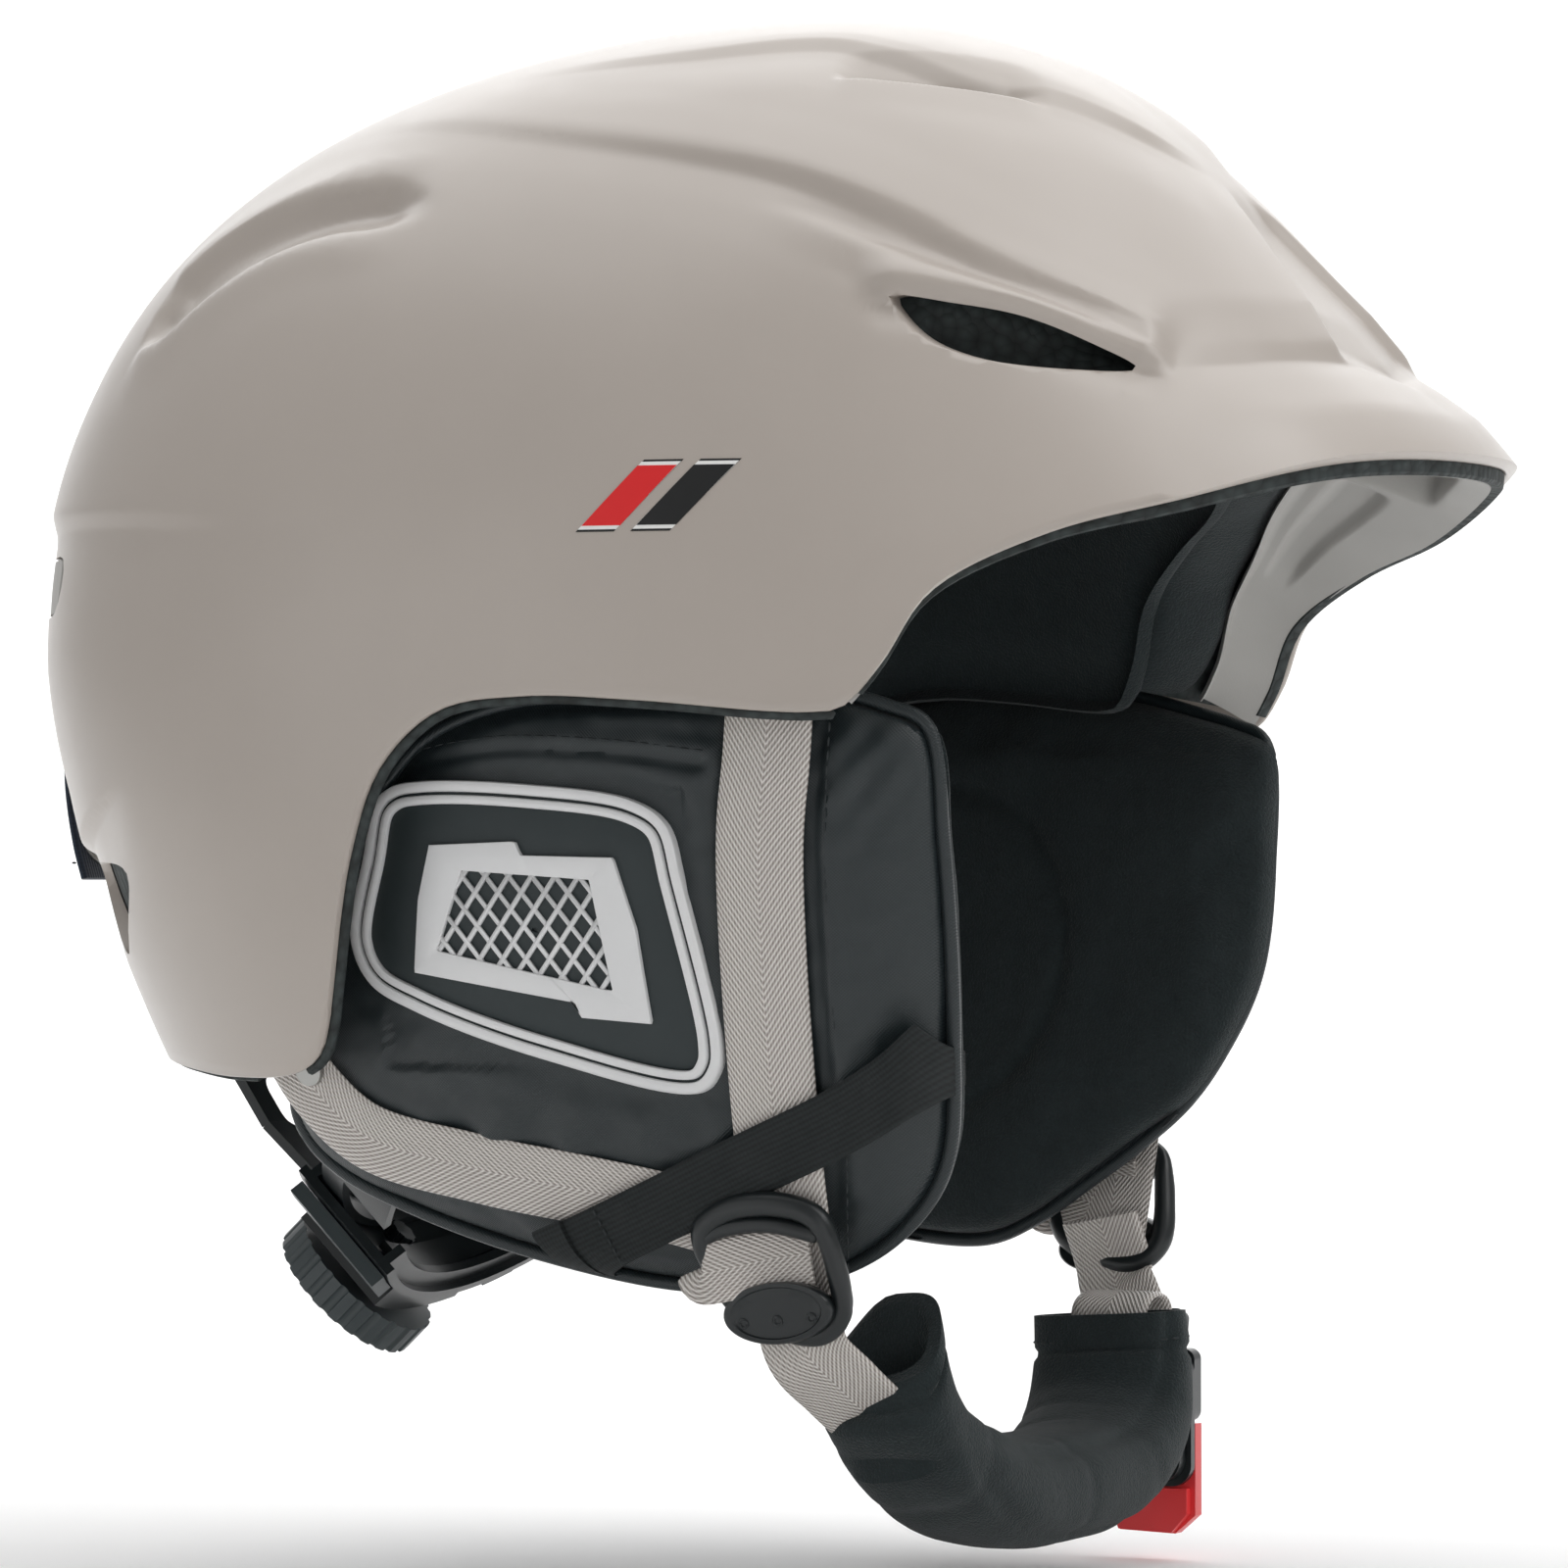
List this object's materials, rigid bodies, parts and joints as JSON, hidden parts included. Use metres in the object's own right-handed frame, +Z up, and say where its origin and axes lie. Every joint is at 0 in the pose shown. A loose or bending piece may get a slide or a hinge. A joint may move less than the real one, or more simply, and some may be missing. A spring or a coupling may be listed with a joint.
{
  "type": "ski helmet",
  "caption": "Hard-shell ski helmet with short visor, soft ear pads, webbing chin strap with padded chin cup and quick-release buckle, goggle-strap retainer and nape dial fit system.",
  "frame": {"origin": "midpoint of the wearer's ear line, inside the head space", "axes": "+Z up, -Y the way the wearer faces, +X the wearer's left; the shell mirrors across X = 0"},
  "size_m": [0.219, 0.2793, 0.2777],
  "materials": {
    "shell_lacquer": "satin",
    "foam": "matte",
    "grey_trim": "satin",
    "black_plastic": "satin",
    "dial_plastic": "satin",
    "liner_fleece": "matte",
    "ear_nylon": "satin",
    "badge_black": "matte",
    "badge_white": "satin",
    "webbing": "satin",
    "keeper_elastic": "matte",
    "retainer_elastic": "matte",
    "rivet_steel": "satin",
    "red_plastic": "gloss"
  },
  "bodies": {
    "helmet": {"brow_pad": "liner_fleece", "crown_pad": "liner_fleece", "ear_badge_grille_left": "badge_white", "ear_badge_grille_right": "badge_white", "ear_badge_panel_left": "badge_black", "ear_badge_panel_right": "badge_black", "ear_badge_ring_left": "badge_white", "ear_badge_ring_right": "badge_white", "ear_pad_left": "ear_nylon", "ear_pad_lining_left": "liner_fleece", "ear_pad_lining_right": "liner_fleece", "ear_pad_right": "ear_nylon", "eps_liner": "foam", "fit_clip_left": "dial_plastic", "fit_clip_right": "dial_plastic", "fit_cradle": "black_plastic", "fit_guide_left": "black_plastic", "fit_guide_right": "black_plastic", "fit_hanger": "black_plastic", "fit_housing": "black_plastic", "front_strap_left": "webbing", "front_strap_right": "webbing", "goggle_strap_anchor": "grey_trim", "goggle_strap_stud": "black_plastic", "neck_roll": "liner_fleece", "outer_shell": "shell_lacquer", "rear_strap_left": "webbing", "rear_strap_right": "webbing", "rear_vent_grille_left": "grey_trim", "rear_vent_grille_right": "grey_trim", "side_mark_left": "red_plastic", "side_mark_right": "red_plastic", "strap_divider_left": "black_plastic", "strap_divider_right": "black_plastic", "strap_keeper_left": "keeper_elastic", "strap_keeper_right": "keeper_elastic", "strap_rivets_left": "rivet_steel", "strap_rivets_right": "rivet_steel", "visor_trim": "grey_trim"},
    "goggle_retainer": {"goggle_strap": "retainer_elastic", "goggle_strap_snap": "black_plastic"},
    "chin_right": {"chin_strap_right": "webbing", "chin_pad": "liner_fleece", "buckle_tongue": "black_plastic"},
    "chin_left": {"chin_strap_left": "webbing", "strap_adjuster": "black_plastic", "buckle_base": "black_plastic"},
    "release": {"buckle_release": "red_plastic"},
    "dial": {"fit_dial": "dial_plastic", "fit_pinion": "black_plastic", "fit_dial_screw": "rivet_steel"},
    "band_right": {"fit_band_right": "black_plastic"},
    "band_left": {"fit_band_left": "black_plastic"}
  },
  "joints": [
    {"name": "chin_strap_right_swing", "type": "hinge", "parent": "helmet", "child": "chin_right", "pos_m": [-0.076, -0.0315, -0.1055], "axis": [0, 1, 0], "range_deg": [0, 75]},
    {"name": "chin_strap_left_swing", "type": "hinge", "parent": "helmet", "child": "chin_left", "pos_m": [0.076, -0.032, -0.1005], "axis": [0, -1, 0], "range_deg": [0, 60]},
    {"name": "buckle_release_slide", "type": "slide", "parent": "chin_left", "child": "release", "axis": [0, 0, -1], "range_m": [0, 0.004], "stiffness_N_per_m": 300, "springref_m": -0.001},
    {"name": "goggle_retainer_hinge", "type": "hinge", "parent": "helmet", "child": "goggle_retainer", "pos_m": [0, 0.141, 0.0285], "axis": [1, 0, 0], "range_deg": [0, 95]},
    {"name": "fit_dial_spin", "type": "hinge", "parent": "helmet", "child": "dial", "pos_m": [0, 0.08315, -0.09211], "axis": [0, 0.7218, -0.6921], "range_deg": [0, 158]},
    {"name": "fit_band_right_arc", "type": "hinge", "parent": "helmet", "child": "band_right", "pos_m": [0, 0.0384, -0.0492], "axis": [0, 0.6921, 0.7218], "range_deg": [-7.65, 0]},
    {"name": "fit_band_left_arc", "type": "hinge", "parent": "helmet", "child": "band_left", "pos_m": [0, 0.0384, -0.0492], "axis": [0, 0.6921, 0.7218], "range_deg": [0, 7.65]}
  ],
  "couplings": [
    {"joint": "fit_band_right_arc", "follows": "fit_dial_spin", "ratio": -0.0484},
    {"joint": "fit_band_left_arc", "follows": "fit_dial_spin", "ratio": 0.0484}
  ]
}
